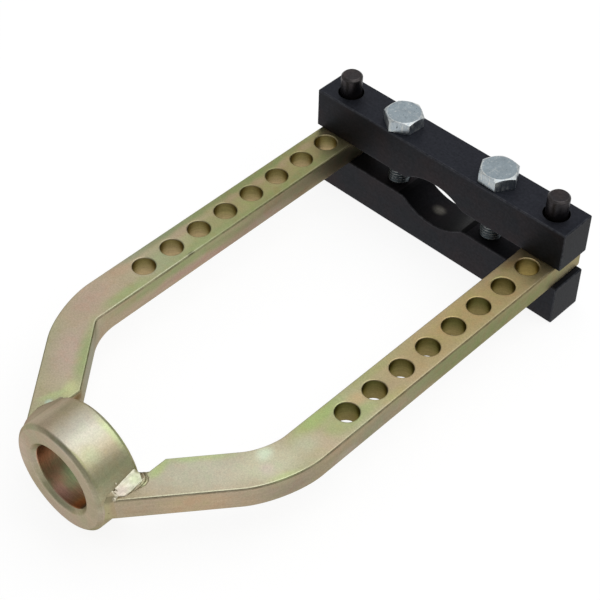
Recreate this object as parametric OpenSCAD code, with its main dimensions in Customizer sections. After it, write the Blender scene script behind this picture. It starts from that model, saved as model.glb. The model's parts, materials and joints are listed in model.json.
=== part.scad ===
// Universal joint puller: a flat bar fork welded to a boss ring, with a two jaw clamp.
// Origin at the middle of the ring's bore, +Y towards the clamp, +Z up, millimetres.

/* [Boss ring] */
// Outside diameter of the boss ring
ring_od = 66; // [54:0.5:80]
// Diameter of the bore through the ring
ring_bore = 39; // [20:0.5:44]
// Length of the ring along its bore
ring_len = 29; // [20:0.5:40]
// Chamfer on the ring's outer edges
ring_chamfer = 2; // [0.5:0.1:3]
// Chamfer at both mouths of the bore
bore_chamfer = 2.6; // [0.5:0.1:4]
// Height of the bore's axis above the middle of the bars
ring_lift = 1; // [-3:0.1:3]

/* [Fork arms] */
// Width of the flat bar
bar_w = 25; // [20:0.5:32]
// Thickness of the flat bar
bar_t = 15; // [8:0.5:20]
// Distance between the two rows of holes
row_gap = 158; // [130:1:200]
// Angle that each arm is bent through
bend_angle = 39; // [30:1:50]
// Radius of the bend on its hollow side
bend_inner_r = 38; // [5:1:50]
// Radius of the bend on its outer side
bend_outer_r = 70; // [30:1:85]
// How far ahead of the ring's middle each arm's centre line meets the ring
arm_foot_y = 11; // [6:0.5:16]
// Gap between the ring and an arm's cut end, filled by the weld
root_gap = 0.2; // [0.1:0.1:1]
// Distance from the last hole's middle to the arm's free end
end_margin = 15.7; // [12:0.1:30]
// Radius of the corners at the arm's free end
end_corner_r = 3; // [1:0.5:9]

/* [Arm holes] */
// Diameter of the holes in the arms
hole_d = 14.5; // [14:0.1:17]
// Distance from one hole to the next
hole_pitch = 22; // [18:0.5:30]
// Number of holes in each arm
hole_count = 9; // [5:1:10]
// Distance from the bend to the first hole
bend_to_hole = 52; // [40:1:70]
// Pairs of holes left free beyond the clamp
free_pairs_beyond = 0; // [0:1:3]
// Chamfer at the mouths of the arm holes
hole_chamfer = 0.5; // [0.2:0.1:1]

/* [Welds] */
// Height of the weld above and below the bars, on the ring
weld_rise = 6; // [4:0.5:8]
// Reach of the weld across the bar from its cut end
weld_reach = 5; // [3:0.5:8]
// Length of the weld along the outer side of the bar
weld_run = 8; // [4:0.5:12]
// Length along the bore in which the weld climbs from the bar's outer side to its full height
weld_ramp = 15; // [10:0.5:20]
// Step of the weld behind the ring's back face
weld_heel = 2; // [1:0.5:5]

/* [Clamp jaws] */
// Distance from a pin's middle to the end of the jaw
jaw_end = 16; // [11:0.5:25]
// Width of each jaw along the fork
jaw_w = 25.5; // [20:0.5:34]
// Height of each jaw
jaw_h = 27.5; // [20:0.5:36]
// Chamfer on the jaws' edges
jaw_chamfer = 1.2; // [0.3:0.1:2]
// Radius of the notch in each jaw
notch_r = 34; // [28:0.5:45]
// Depth of the notch in each jaw
notch_depth = 9.2; // [4:0.2:12]

/* [Guide pins] */
// Diameter of the guide pins
pin_d = 13.5; // [10:0.1:13.7]
// Height of the pins above the upper jaw
pin_stand = 13.5; // [6:0.5:20]
// Chamfer on the pins' ends
pin_chamfer = 1.3; // [0.3:0.1:2]
// Diameter of the upper jaw's pin holes
jaw_pin_hole_d = 16; // [14.1:0.1:18]
// Depth of the pins' lower ends inside the lower jaw's bottom face
pin_recess = 0.5; // [0:0.1:2]

/* [Clamp bolts] */
// Thread diameter of the bolts
bolt_d = 14; // [10:1:16]
// Width of the bolt heads across their flats
head_af = 22; // [18:1:26]
// Share of the width across flats that the head's flat crown takes
crown_share = 0.95; // [0.85:0.01:0.98]
// Height of the bolt heads
head_h = 8.2; // [5:0.2:10]
// Length of the bolts under their heads
bolt_len = 65; // [58:1:75]
// Distance between the two bolts
bolt_gap = 73; // [64:1:100]
// Turn of the left bolt's head at rest, in degrees
left_head_turn = 25.6; // [0:0.1:60]
// Turn of the right bolt's head at rest, in degrees
right_head_turn = 57.9; // [0:0.1:60]
// Clearance around a bolt in the upper jaw, on the radius
bolt_play = 0.5; // [0.1:0.1:1]
// Clearance around a bolt in the lower jaw's thread, on the radius
thread_play = 0.05; // [0.01:0.01:0.1]
// Chamfer at the tips of the bolts
tip_chamfer = 1.4; // [0.5:0.1:2]

/* [Hidden] */
$fn = 96;

// How far a cutting shape runs past the faces that it cuts
past = 1;

// Levels of the bars and the jaws
bar_top = bar_t / 2 - ring_lift;
bar_bottom = bar_top - bar_t;
upper_top = bar_top + jaw_h;
lower_bottom = bar_bottom - jaw_h;
pin_top = upper_top + pin_stand;
pin_bottom = lower_bottom + pin_recess;

// Places across and along the fork
ring_r = ring_od / 2;
arm_x = row_gap / 2;
foot_x = ring_r + root_gap;
bend_y = arm_foot_y + (arm_x - foot_x) / tan(bend_angle);
bend_mitre = bar_w / 2 * tan(bend_angle / 2);
hole_y = bend_y + bend_to_hole;
last_hole_y = hole_y + (hole_count - 1) * hole_pitch;
clamp_y = last_hole_y - free_pairs_beyond * hole_pitch;
bolt_x = bolt_gap / 2;
jaw_len = row_gap + 2 * jaw_end;
arm_end_y = last_hole_y + end_margin;

// The sharp corners of an arm's outline at its bend
inner_corner = [arm_x - bar_w / 2, bend_y + bend_mitre];
outer_corner = [arm_x + bar_w / 2, bend_y - bend_mitre];

// Place along Y of the slanted line through corner c, where it passes x
function slant_y(c, x) = c[1] - (c[0] - x) / tan(bend_angle);

// Limits of the weld: along the bore, where it leaves the bar's outer side, and up and down
weld_front_y = ring_chamfer - ring_len / 2;
weld_back_y = ring_len / 2;
weld_side_y = slant_y(outer_corner, foot_x);
weld_top = bar_top + weld_rise;
weld_bottom = bar_bottom - weld_rise;

// Distance from a bend's sharp corner to the points where an arc of radius r leaves the bar's edges
function bend_reach(r) = r * tan(bend_angle / 2);

// The two points where an arc of radius r leaves the bar's edges beside the bend's sharp corner c
function bend_points(c, r) = [
    c + [0, bend_reach(r)],
    c - bend_reach(r) * [sin(bend_angle), cos(bend_angle)]
];

// Slice of the disc of radius r that rounds the bend's corner c, between its two arc points
module bend_slice(c, r) {
    middle = c + [-r, bend_reach(r)];
    ends = bend_points(c, r);
    intersection() {
        translate(middle)
            circle(r);
        polygon([middle, 2 * ends[0] - middle, 2 * ends[1] - middle]);
    }
}

// Outline of the right arm, seen from above
module arm_outline() {
    outer_ends = bend_points(outer_corner, bend_outer_r);
    inner_ends = bend_points(inner_corner, bend_inner_r);
    difference() {
        union() {
            polygon([
                [inner_corner[0] + end_corner_r, arm_end_y],
                [inner_corner[0], arm_end_y - end_corner_r],
                inner_ends[0],
                inner_ends[1],
                [foot_x, slant_y(inner_corner, foot_x)],
                [foot_x, slant_y(outer_corner, foot_x)],
                outer_ends[1],
                outer_ends[0],
                [outer_corner[0], arm_end_y - end_corner_r],
                [outer_corner[0] - end_corner_r, arm_end_y]
            ]);
            for (side = [-1, 1])
                translate([arm_x + side * (bar_w / 2 - end_corner_r), arm_end_y - end_corner_r])
                    circle(end_corner_r);
            difference() {
                bend_slice(outer_corner, bend_outer_r);
                translate(outer_corner + [-bend_outer_r, bend_reach(bend_outer_r)])
                    circle(bend_outer_r - bar_w / 2);
            }
        }
        bend_slice(inner_corner, bend_inner_r);
    }
}

// Right arm: the bent bar with its row of holes
module arm() {
    difference() {
        translate([0, 0, bar_bottom])
            linear_extrude(bar_t)
                arm_outline();
        for (i = [0 : hole_count - 1])
            translate([arm_x, hole_y + i * hole_pitch, 0])
                arm_hole();
    }
}

// One arm hole with its edges broken
module arm_hole() {
    translate([0, 0, bar_bottom - past])
        cylinder(d = hole_d, h = bar_t + 2 * past);
    translate([0, 0, bar_top - hole_chamfer])
        mouth_cone(hole_d / 2, hole_chamfer);
    translate([0, 0, bar_bottom + hole_chamfer])
        mirror([0, 0, 1])
            mouth_cone(hole_d / 2, hole_chamfer);
}

// Cone that chamfers the mouth of a hole of radius r, opening upwards from z = 0
module mouth_cone(r, c) {
    cylinder(r1 = r, r2 = r + c + past, h = c + past);
}

// Outer surface of the ring, as a plain round bar
module ring_blank() {
    rotate([90, 0, 0])
        cylinder(r = ring_r, h = ring_len, center = true);
}

// Right weld: fillets above and below the bar, run round the outer side of the joint
module weld() {
    difference() {
        intersection() {
            rotate([90, 0, 0])
                linear_extrude(3 * ring_len, center = true)
                    weld_section();
            rotate([90, 0, 90])
                linear_extrude(ring_od)
                    weld_profile();
            linear_extrude(3 * ring_od, center = true)
                weld_plan();
        }
        ring_blank();
        translate([0, 0, bar_bottom])
            linear_extrude(bar_t)
                arm_outline();
    }
}

// Weld seen along the bore: two fillets, and the metal between ring and bar
module weld_section() {
    toe_x = foot_x + weld_reach;
    polygon([
        [ring_r / 2, weld_top],
        [sqrt(ring_r * ring_r - weld_top * weld_top), weld_top],
        [toe_x, bar_top],
        [toe_x, bar_bottom],
        [sqrt(ring_r * ring_r - weld_bottom * weld_bottom), weld_bottom],
        [ring_r / 2, weld_bottom]
    ]);
}

// Weld seen from the side: level with the bar at the front, and climbing towards the back
module weld_profile() {
    polygon([
        [weld_front_y, bar_bottom],
        [weld_front_y, bar_top],
        [weld_side_y, bar_top],
        [weld_side_y + weld_ramp, weld_top],
        [weld_back_y - weld_heel, weld_top],
        [weld_back_y + weld_heel, bar_top],
        [weld_back_y + weld_heel, bar_bottom],
        [weld_back_y - weld_heel, weld_bottom],
        [weld_side_y + weld_ramp, weld_bottom],
        [weld_side_y + weld_run, bar_bottom]
    ]);
}

// Weld seen from above: it rounds the outer corner and ends just behind the ring
module weld_plan() {
    edge_x = foot_x + weld_reach + past;
    polygon([
        [ring_r / 2, weld_front_y],
        [ring_r, weld_front_y],
        [foot_x + weld_run * sin(bend_angle), weld_side_y + weld_run * cos(bend_angle)],
        [edge_x, slant_y(outer_corner, edge_x)],
        [edge_x, weld_back_y - weld_heel],
        [foot_x, weld_back_y + weld_heel],
        [ring_r - weld_heel, weld_back_y],
        [ring_r / 2, weld_back_y]
    ]);
}

// Rectangle with its corners cut at 45 degrees, centred
module cut_rectangle(a, b, c) {
    polygon([
        [-a / 2 + c, -b / 2], [a / 2 - c, -b / 2], [a / 2, -b / 2 + c], [a / 2, b / 2 - c],
        [a / 2 - c, b / 2], [-a / 2 + c, b / 2], [-a / 2, b / 2 - c], [-a / 2, -b / 2 + c]
    ]);
}

// Square bar with every edge chamfered, centred
module jaw_blank() {
    intersection() {
        linear_extrude(jaw_h, center = true)
            cut_rectangle(jaw_len, jaw_w, jaw_chamfer);
        rotate([90, 0, 0])
            linear_extrude(jaw_w, center = true)
                cut_rectangle(jaw_len, jaw_h, jaw_chamfer);
        rotate([90, 0, 90])
            linear_extrude(jaw_len, center = true)
                cut_rectangle(jaw_w, jaw_h, jaw_chamfer);
    }
}

// Jaw whose clamping face is at z = 0, with its body above
module jaw(pin_hole, bolt_hole) {
    difference() {
        translate([0, 0, jaw_h / 2])
            jaw_blank();
        translate([0, 0, notch_depth - notch_r])
            rotate([90, 0, 0])
                cylinder(r = notch_r, h = jaw_w + 2 * past, center = true);
        for (side = [-1, 1]) {
            translate([side * arm_x, 0, -past])
                cylinder(d = pin_hole, h = jaw_h + 2 * past);
            translate([side * bolt_x, 0, -past])
                cylinder(d = bolt_hole, h = jaw_h + 2 * past);
        }
    }
}

// Headless pin, its ends chamfered
module guide_pin() {
    pin_r = pin_d / 2;
    rotate_extrude()
        polygon([
            [0, pin_bottom],
            [pin_r - pin_chamfer, pin_bottom],
            [pin_r, pin_bottom + pin_chamfer],
            [pin_r, pin_top - pin_chamfer],
            [pin_r - pin_chamfer, pin_top],
            [0, pin_top]
        ]);
}

// Hexagon bolt with its head's corners turned off at 30 degrees and a chamfered tip
module clamp_bolt(turn) {
    corner_r = head_af / 2 / cos(30);
    crown_r = crown_share * head_af / 2;
    cutter_r = corner_r + past;
    bolt_r = bolt_d / 2;
    intersection() {
        rotate([0, 0, turn])
            cylinder(r = corner_r, h = head_h, $fn = 6);
        rotate_extrude()
            polygon([
                [0, -past],
                [cutter_r, -past],
                [cutter_r, head_h - (cutter_r - crown_r) * tan(30)],
                [crown_r, head_h],
                [0, head_h]
            ]);
    }
    translate([0, 0, -bolt_len])
        rotate_extrude()
            polygon([
                [0, 0],
                [bolt_r - tip_chamfer, 0],
                [bolt_r, tip_chamfer],
                [bolt_r, bolt_len],
                [0, bolt_len]
            ]);
}

module boss_ring() {
    bore_r = ring_bore / 2;
    half = ring_len / 2;
    color("darkkhaki")
        rotate([90, 0, 0])
            rotate_extrude()
                polygon([
                    [bore_r, bore_chamfer - half],
                    [bore_r + bore_chamfer, -half],
                    [ring_r - ring_chamfer, -half],
                    [ring_r, ring_chamfer - half],
                    [ring_r, half - ring_chamfer],
                    [ring_r - ring_chamfer, half],
                    [bore_r + bore_chamfer, half],
                    [bore_r, half - bore_chamfer]
                ]);
}

module left_arm() {
    color("tan")
        mirror([1, 0, 0])
            arm();
}

module right_arm() {
    color("tan")
        arm();
}

module left_weld() {
    color("olivedrab")
        mirror([1, 0, 0])
            weld();
}

module right_weld() {
    color("olivedrab")
        weld();
}

module lower_jaw() {
    color("dimgray")
        translate([0, clamp_y, bar_bottom])
            mirror([0, 0, 1])
                jaw(pin_d, bolt_d + 2 * thread_play);
}

module upper_jaw() {
    color("dimgray")
        translate([0, clamp_y, bar_top])
            jaw(jaw_pin_hole_d, bolt_d + 2 * bolt_play);
}

module left_guide_pin() {
    color("black")
        translate([-arm_x, clamp_y, 0])
            guide_pin();
}

module right_guide_pin() {
    color("black")
        translate([arm_x, clamp_y, 0])
            guide_pin();
}

module left_clamp_bolt() {
    color("silver")
        translate([-bolt_x, clamp_y, upper_top])
            clamp_bolt(left_head_turn);
}

module right_clamp_bolt() {
    color("silver")
        translate([bolt_x, clamp_y, upper_top])
            clamp_bolt(right_head_turn);
}

boss_ring();
left_arm();
right_arm();
left_weld();
right_weld();
lower_jaw();
upper_jaw();
left_guide_pin();
right_guide_pin();
left_clamp_bolt();
right_clamp_bolt();
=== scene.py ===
"""Looks of a universal joint puller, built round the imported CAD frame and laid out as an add-on."""

import json
import math

import bmesh
import bpy
from bmesh.types import BMEdge, BMFace, BMVert
from mathutils import Matrix, Vector, noise

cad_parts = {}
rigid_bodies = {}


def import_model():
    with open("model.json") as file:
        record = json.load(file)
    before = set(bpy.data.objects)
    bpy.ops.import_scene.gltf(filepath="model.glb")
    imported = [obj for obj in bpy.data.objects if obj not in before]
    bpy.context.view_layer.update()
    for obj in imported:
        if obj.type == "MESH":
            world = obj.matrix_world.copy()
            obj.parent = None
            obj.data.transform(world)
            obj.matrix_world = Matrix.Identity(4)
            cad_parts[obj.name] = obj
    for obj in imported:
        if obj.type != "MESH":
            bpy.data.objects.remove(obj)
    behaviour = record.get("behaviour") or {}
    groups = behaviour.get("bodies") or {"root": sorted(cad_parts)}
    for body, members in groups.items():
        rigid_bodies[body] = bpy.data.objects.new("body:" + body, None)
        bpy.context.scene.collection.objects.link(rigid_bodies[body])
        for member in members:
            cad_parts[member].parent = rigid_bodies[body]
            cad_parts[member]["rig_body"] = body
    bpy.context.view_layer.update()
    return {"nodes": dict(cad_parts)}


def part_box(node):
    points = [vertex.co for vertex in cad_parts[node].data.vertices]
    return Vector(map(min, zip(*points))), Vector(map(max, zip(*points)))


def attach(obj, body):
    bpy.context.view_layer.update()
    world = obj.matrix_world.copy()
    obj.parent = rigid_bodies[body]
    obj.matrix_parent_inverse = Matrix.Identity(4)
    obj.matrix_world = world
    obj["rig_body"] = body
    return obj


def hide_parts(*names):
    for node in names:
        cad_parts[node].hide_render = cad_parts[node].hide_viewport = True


bl_info = {
    "name": "Universal joint puller",
    "version": (1, 0, 0),
    "blender": (4, 5, 0),
    "location": "View3D > Sidebar > Puller",
    "description": "Bent flat bar fork, welded boss ring and bolted two jaw clamp",
    "category": "Object",
}

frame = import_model()
METRE = 1000.0  # the meshes are made in millimetres
SLANT_TINT = "#BDB9A6"  # a film keeps its colour at a slant, where bare metal would turn white


def mm(length):
    """A length in metres, in millimetres."""
    return length * METRE


def node_box(node):
    """Lowest and highest corner of a CAD node, in millimetres."""
    low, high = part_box(node)
    return low * METRE, high * METRE


def linear(hex_colour):
    """The linear RGBA of an sRGB hex colour."""
    channels = [int(hex_colour[i : i + 2], 16) / 255 for i in (1, 3, 5)]
    return [c / 12.92 if c <= 0.04045 else ((c + 0.055) / 1.055) ** 2.4 for c in channels] + [1.0]


def tint(name, hex_colour, description):
    """A colour that a user can change, with an sRGB hex default."""
    return bpy.props.FloatVectorProperty(
        name=name,
        description=description,
        default=linear(hex_colour),
        size=4,
        min=0.0,
        max=1.0,
        subtype="COLOR",
    )


def length(name, metres, description):
    """A length that a user can change."""
    return bpy.props.FloatProperty(
        name=name, description=description, default=metres, unit="LENGTH"
    )


def degrees(name, angle, description):
    """An angle that a user can change, with its default in degrees."""
    return bpy.props.FloatProperty(
        name=name, description=description, default=math.radians(angle), subtype="ANGLE"
    )


class ForkSettings(bpy.types.PropertyGroup):
    """Sizes of the two bent flat bars."""

    bar_width: length("Bar width", 0.025, "Width of the flat bar")
    bend_angle: degrees("Bend angle", 39, "Angle that each arm is bent through")
    bend_inner: length("Inner bend radius", 0.038, "Radius of the bend on its hollow side")
    bend_outer: length("Outer bend radius", 0.070, "Radius of the bend on its outer side")
    crease_radius: length(
        "Crease radius", 0.005, "Radius of the left arm's bend at the top of its hollow side"
    )
    tip_radius: length("Tip corner radius", 0.003, "Radius of the corners at the arms' free ends")
    edge_round: length("Edge rounding", 0.0012, "Width of the rounding on the bars' long edges")
    hole_diameter: length("Hole diameter", 0.0139, "Diameter of the arm holes")
    hole_pitch: length("Hole pitch", 0.022, "Distance from one hole to the next")
    hole_count: bpy.props.IntProperty(
        name="Holes", description="Number of holes in each arm", default=9, min=1
    )
    hole_chamfer: length("Hole chamfer", 0.00065, "Chamfer at the upper mouths of the arm holes")


class RingSettings(bpy.types.PropertyGroup):
    """Sizes of the boss ring."""

    bore: length("Bore", 0.039, "Diameter of the ring's bore")
    outer_chamfer: length("Outer chamfer", 0.002, "Chamfer on the ring's outer edges")
    bore_chamfer: length("Bore chamfer", 0.0026, "Chamfer at the mouths of the bore")
    edge_round: length("Edge rounding", 0.0007, "Rounding where the ring's faces meet")


class WeldSettings(bpy.types.PropertyGroup):
    """Sizes of the weld beads."""

    bead_radius: length("Bead radius", 0.0053, "Radius of the weld bead on top")
    ripple: length("Ripple", 0.0017, "Distance from one ripple to the next")


class ClampSettings(bpy.types.PropertyGroup):
    """Sizes of the jaws, their pins and their bolts."""

    jaw_edge: length("Jaw edge", 0.0009, "Width of the jaws' rounded edges")
    notch_radius: length("Notch radius", 0.034, "Radius of the notch in each jaw")
    lower_notch: length("Lower notch", 0.0086, "Depth of the lower jaw's notch")
    upper_notch: length("Upper notch", 0.0079, "Depth of the upper jaw's notch")
    loose_pin_hole: length("Upper pin hole", 0.016, "Diameter of the upper jaw's pin holes")
    bolt_play: length(
        "Bolt play", 0.0007, "Clearance round a bolt in the upper jaw, on the radius"
    )
    thread_play: length(
        "Thread play", 0.00025, "Clearance round a bolt in the lower jaw, on the radius"
    )
    pin_chamfer: length("Pin chamfer", 0.0013, "Chamfer on the pins' ends")
    thread_diameter: length("Thread diameter", 0.0136, "Outside diameter of the bolts' threads")
    thread_pitch: length("Thread pitch", 0.002, "Rise of the thread in one turn")
    head_flats: length("Head across flats", 0.022, "Width of the bolt heads across their flats")
    crown_share: bpy.props.FloatProperty(
        name="Crown share",
        description="Share of the width across flats that the flat crown takes",
        default=0.95,
        subtype="FACTOR",
    )
    left_turn: degrees("Left head turn", 25.6, "Turn of the left bolt's head at rest")
    right_turn: degrees("Right head turn", 57.9, "Turn of the right bolt's head at rest")


class FinishSettings(bpy.types.PropertyGroup):
    """Colours of the platings, and of the painted highlight and painted shade on the bars' edges."""

    pink_film: tint("Pink film", "#C2AC98", "Chromate film where it leans to pink")
    straw_film: tint("Straw film", "#BBB092", "Chromate film where it is thin")
    green_film: tint("Green film", "#AFB78E", "Chromate film where it leans to green")
    # Painted light: the crest is a painted highlight on the bars' rounded edges, and the colour after
    # it a painted shade line just under them.
    crest: tint("Crest highlight", "#DBDCBE", "Edges of the bars where the film is rubbed bright")
    edge_shade: tint("Edge shade", "#57523A", "Dark line that gathers beside the edges")
    jaw_black: tint("Jaw black", "#27282C", "Black oxide on the jaws")
    pin_black: tint("Pin black", "#39383A", "Black oxide on the pins")
    zinc: tint("Clear zinc", "#98A4AB", "Clear zinc plating on the bolts")


def add(tree, kind, inputs=None, stops=(), **settings):
    """Add a shader node with its settings. Its inputs are values, hex colours, nodes or sockets.

    A node is linked by its first output in use. `stops` are a ramp's places and colours.
    """
    node = tree.nodes.new("ShaderNode" + kind)
    for name, value in settings.items():
        setattr(node, name, value)
    for key, value in (inputs or {}).items():
        if isinstance(value, bpy.types.Node):
            value = next(socket for socket in value.outputs if socket.enabled)
        if isinstance(value, bpy.types.NodeSocket):
            tree.links.new(value, node.inputs[key])
        else:
            node.inputs[key].default_value = linear(value) if isinstance(value, str) else value
    ramp = node.color_ramp.elements if stops else ()
    while len(ramp) < len(stops):
        ramp.new(1.0)
    for element, (place, colour) in zip(ramp, stops):
        element.position = place
        element.color = linear(colour) if isinstance(colour, str) else colour
    return node


def new_material(name, *marks):
    """An empty material, its node tree, its place on the piece and what the faces' marks say."""
    material = bpy.data.materials.new(name)
    material.use_nodes = True
    tree = material.node_tree
    tree.nodes.clear()
    place = add(tree, "TexCoord").outputs["Object"] if marks else None
    levels = [add(tree, "Attribute", attribute_name=mark).outputs["Fac"] for mark in marks]
    return material, tree, place, *levels


def speckle(place, size_mm, detail, roughness=0.5):
    """What sets a noise to spots of a real size in millimetres."""
    return {"Vector": place, "Scale": METRE / size_mm, "Detail": detail, "Roughness": roughness}


def streaked(tree, place, stretch, size_mm, detail, roughness=0.5, turn=0):
    """A noise that is drawn out along x, y and z, and turned in the plane by degrees."""
    drawn = {"Vector": place, "Rotation": (0.0, 0.0, math.radians(turn)), "Scale": stretch}
    drawn = add(tree, "Mapping", drawn)
    return add(tree, "TexNoise", speckle(drawn, size_mm, detail, roughness))


def patch(tree, place, centre, size, strength, turn=0):
    """A soft oval zone, in millimetres and degrees, as a factor that is highest at its centre."""
    oval = {
        "Vector": place,
        "Location": [c / METRE for c in centre],
        "Rotation": (0.0, 0.0, math.radians(turn)),
        "Scale": [s / METRE for s in size],
    }
    local = add(tree, "Mapping", oval, vector_type="TEXTURE")
    reach = add(tree, "VectorMath", {0: local}, operation="LENGTH")
    fade = {"Value": reach, "From Min": 0.2, "From Max": 1.1, "To Min": strength, "To Max": 0.0}
    return add(tree, "MapRange", fade, interpolation_type="SMOOTHSTEP")


def uneven(tree, colour, level, low, high):
    """A colour that a noise level makes darker and lighter, from `low` to `high` times."""
    share = {"Value": level, "From Min": 0.3, "From Max": 0.7, "To Min": low, "To Max": high}
    share = add(tree, "MapRange", share)
    return add(tree, "Mix", {0: 1.0, 6: colour, 7: share}, data_type="RGBA", blend_type="MULTIPLY")


def coated(tree, skin, *coats):
    """A colour with other colours laid over it in turn, each as a level and a colour."""
    for level, colour in coats:
        skin = add(tree, "Mix", {0: level, 6: skin, 7: colour}, data_type="RGBA")
    return skin


def zoned(tree, place, skin, zones, weight=None):
    """A colour with soft zones of other colours, all of them held back by one weight."""
    for centre, size, colour, strength, *turn in zones:
        spot = patch(tree, place, centre, size, strength, *turn)
        if weight is not None:
            spot = add(tree, "Math", {0: spot, 1: weight}, operation="MULTIPLY")
        skin = coated(tree, skin, (spot, colour))
    return skin


def metal(material, skin, roughness, relief, strength, depth, slant="#FFFFFF", metallic=1.0):
    """Close a metal's nodes, with a fine relief and the colour that it turns at a slant."""
    tree = material.node_tree
    normal = add(tree, "Bump", {"Height": relief, "Strength": strength, "Distance": depth})
    look = {"Base Color": skin, "Metallic": metallic, "Roughness": roughness, "Normal": normal}
    surface = add(tree, "BsdfPrincipled", look | {"Specular Tint": slant})
    add(tree, "OutputMaterial", {"Surface": surface})
    return material


def yellow_chromate(
    name, zones, wall_tint, wall_zones, bore_tints, bore_zones, lines_mm, bright_edges=()
):
    """Yellow chromated zinc plating over a shaped steel surface.

    The passivate film is thinner here and thicker there, so it drifts between straw, pinkish tan
    and green. The zinc under it is satin, with a fine grain that sparkles a little. Most zones are
    the places where the film was plainly thicker or thinner: on the tops, on the upright walls,
    which lean to `wall_tint`, and in the holes. Some zones are painted highlights and painted
    shade, and in the holes some of them paint a shade that is darker near the top. `lines_mm` is
    the spacing of cutter lines along x, y and z inside the holes. The crests of rounded edges get a
    painted highlight and a painted shade line under them, and `bright_edges` are the places where
    that highlight is strongest.
    """
    finish = bpy.context.scene.puller_finish
    material, tree, place, inside, wear_and_highlight, shade = new_material(name, "inside", "wear_and_highlight", "shade")
    drift = add(tree, "TexNoise", speckle(place, 42, 2) | {"Distortion": 0.4})
    mottle = add(tree, "TexNoise", speckle(place, 7, 4, 0.6))
    film = add(tree, "Mix", {0: 0.4, 2: drift, 3: mottle}, data_type="FLOAT")
    films = [(0.36, finish.pink_film), (0.5, finish.straw_film), (0.64, finish.green_film)]
    skin = add(tree, "ValToRGB", {"Fac": film}, films)
    # The zones wander with the clouds, by up to 5 mm either way, so their borders look natural.
    stray = {0: drift.outputs["Color"], 1: (0.010, 0.010, 0.010), 2: place}
    stray = add(tree, "VectorMath", stray, operation="MULTIPLY_ADD")
    stray = add(tree, "VectorMath", {0: stray, 1: (0.005, 0.005, 0.005)}, operation="SUBTRACT")
    skin = zoned(tree, stray, skin, zones)
    facing = add(tree, "SeparateXYZ", {0: add(tree, "NewGeometry").outputs["Normal"]})
    upright = add(tree, "Math", {0: facing.outputs["Z"]}, operation="ABSOLUTE")
    wall = add(tree, "MapRange", {"Value": upright, "From Min": 0.5, "From Max": 0.1})
    lean = add(tree, "Math", {0: wall, 1: 0.65}, operation="MULTIPLY")
    skin = zoned(tree, stray, coated(tree, skin, (lean, wall_tint)), wall_zones, wall)
    drawn = streaked(tree, place, (0.08, 0.08, 1.0), 1.6, 2)
    skin = uneven(tree, skin, drawn, 0.93, 1.05)
    flecks = [(0.36, "#9FAF7A"), (0.5, "#C0B39C"), (0.64, "#CFA088")]
    fleck = add(tree, "ValToRGB", {"Fac": mottle}, flecks)
    bore = add(tree, "ValToRGB", {"Fac": film}, bore_tints)
    skin = coated(tree, skin, (0.14, fleck), (inside, bore))
    skin = zoned(tree, stray, skin, bore_zones, inside)
    cuts = streaked(tree, place, [1 / step for step in lines_mm], 1, 2)
    skin = coated(tree, skin, (inside, uneven(tree, skin, cuts, 0.88, 1.12)))
    # The rounded edges' crests get a painted highlight, and the faces under them a painted shade
    # line, both in patches.
    patchy = {"Value": mottle, "From Min": 0.35, "From Max": 0.6, "To Min": 0.45}
    patchy = add(tree, "MapRange", patchy)
    held = 0.22  # how strong the painted edge highlight is away from those places
    for centre, size, turn in bright_edges:
        here = patch(tree, place, centre, size, 1.0, turn)
        held = add(tree, "Math", {0: here, 1: held}, operation="MAXIMUM")
    crest = add(tree, "Math", {0: patchy, 1: held}, operation="MULTIPLY")
    for mark, level, colour in ((wear_and_highlight, crest, finish.crest), (shade, patchy, finish.edge_shade)):
        level = add(tree, "Math", {0: mark, 1: level}, operation="MULTIPLY")
        skin = coated(tree, skin, (level, colour))
    # The real grain is finer than this, and is drawn coarse enough to be seen.
    grain = add(tree, "TexNoise", speckle(place, 0.9, 3, 0.8))
    skin = uneven(tree, skin, grain, 0.85, 1.15)
    relief = add(tree, "Mix", {0: inside, 2: grain, 3: cuts}, data_type="FLOAT")
    sheen = add(tree, "MapRange", {"Value": mottle, "To Min": 0.36, "To Max": 0.48})
    return metal(material, skin, sheen, relief, 0.45, 0.0001, SLANT_TINT)


def black_oxide(name, body, cloud_colour, rubbed_colour, lay_mm, gloss, zones):
    """Black oxide on milled or turned steel: a nearly black, matt skin with faint cutter lines.

    It has cloudy patches with a trace of brown, a fine mottle, and edges that rub to grey here and
    there. Faces marked inside get a painted shade close to black, and the zones lay other colours,
    among them painted light and shade, over the skin.
    """
    material, tree, place, painted_shade, wear_and_highlight = new_material(name, "inside", "wear_and_highlight")
    cloud = add(tree, "TexNoise", speckle(place, 24, 4, 0.6))
    shade = add(tree, "MapRange", {"Value": cloud, "From Min": 0.4, "From Max": 0.68})
    skin = zoned(tree, place, coated(tree, body, (shade, cloud_colour)), zones)
    lines = streaked(tree, place, [1 / step for step in lay_mm], 1, 3, 0.6)
    mottle = add(tree, "TexNoise", speckle(place, 1.6, 4, 0.8))
    # Painted shade close to black on the faces marked inside.
    skin = uneven(tree, coated(tree, skin, (painted_shade, "#111113")), mottle, 0.72, 1.3)
    chafe = add(tree, "TexNoise", speckle(place, 2.5, 4, 0.7))
    rub = add(tree, "MapRange", {"Value": chafe, "From Min": 0.3, "From Max": 0.75})
    patchy = add(tree, "Math", {0: wear_and_highlight, 1: rub}, operation="MULTIPLY")
    skin = coated(tree, skin, (patchy, rubbed_colour))
    sheen = add(tree, "MapRange", {"Value": lines, "To Min": gloss - 0.08, "To Max": gloss + 0.08})
    return metal(material, skin, sheen, lines, 0.3, 0.00006)


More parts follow.
